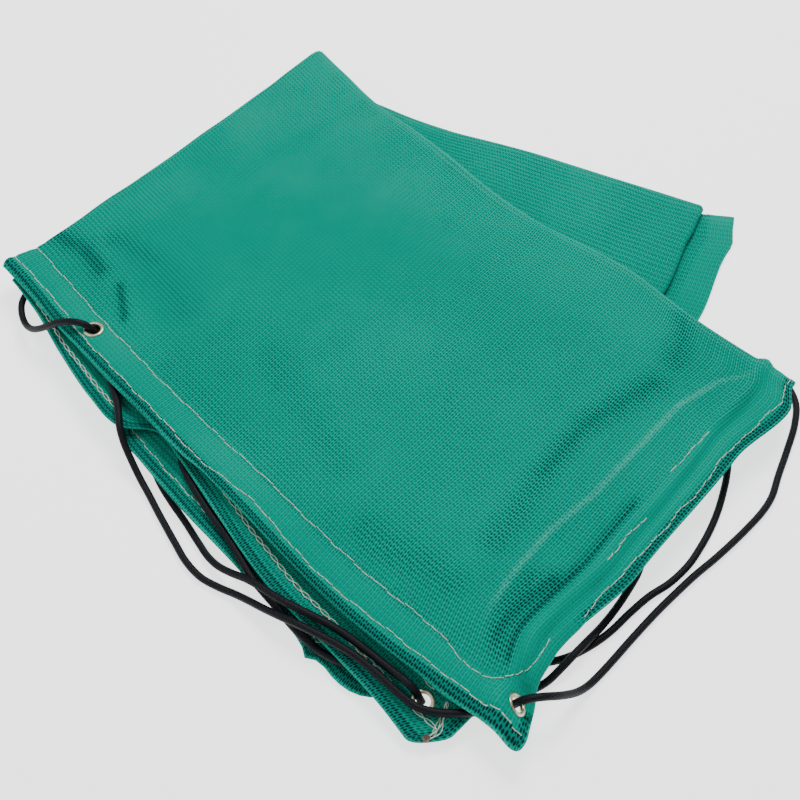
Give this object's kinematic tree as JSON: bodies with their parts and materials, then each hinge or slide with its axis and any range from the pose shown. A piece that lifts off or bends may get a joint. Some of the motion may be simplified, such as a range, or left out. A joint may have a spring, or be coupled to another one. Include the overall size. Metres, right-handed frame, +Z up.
{
  "type": "folded trailer cargo net",
  "caption": "Fine mesh trailer net folded into a flat bundle, with sewn hems, metal eyelets and an elastic lashing cord.",
  "frame": {"origin": "on the surface that the bundle rests on, under the middle of the folded net's box", "axes": "+X along the long hem, from the folded end to the end with the corner eyelet; +Y from the long hem to the fold at the back; +Z up"},
  "size_m": [0.6629, 0.624, 0.0499],
  "materials": {
    "net_cloth": "fine knitted polyethylene mesh, teal green, with pale sewing thread along its hems",
    "eyelet_metal": "plated brass, rolled, slightly dulled",
    "cord_elastic": "black braided sheath over a rubber core"
  },
  "bodies": {
    "root": {"net": "net_cloth", "eyelet_front_corner": "eyelet_metal", "eyelet_left": "eyelet_metal", "eyelet_lower_corner": "eyelet_metal", "cord_left_loop": "cord_elastic", "cord_front_long": "cord_elastic", "cord_front_middle": "cord_elastic", "cord_front_inner": "cord_elastic", "cord_right_outer": "cord_elastic", "cord_right_inner": "cord_elastic"}
  },
  "joints": []
}
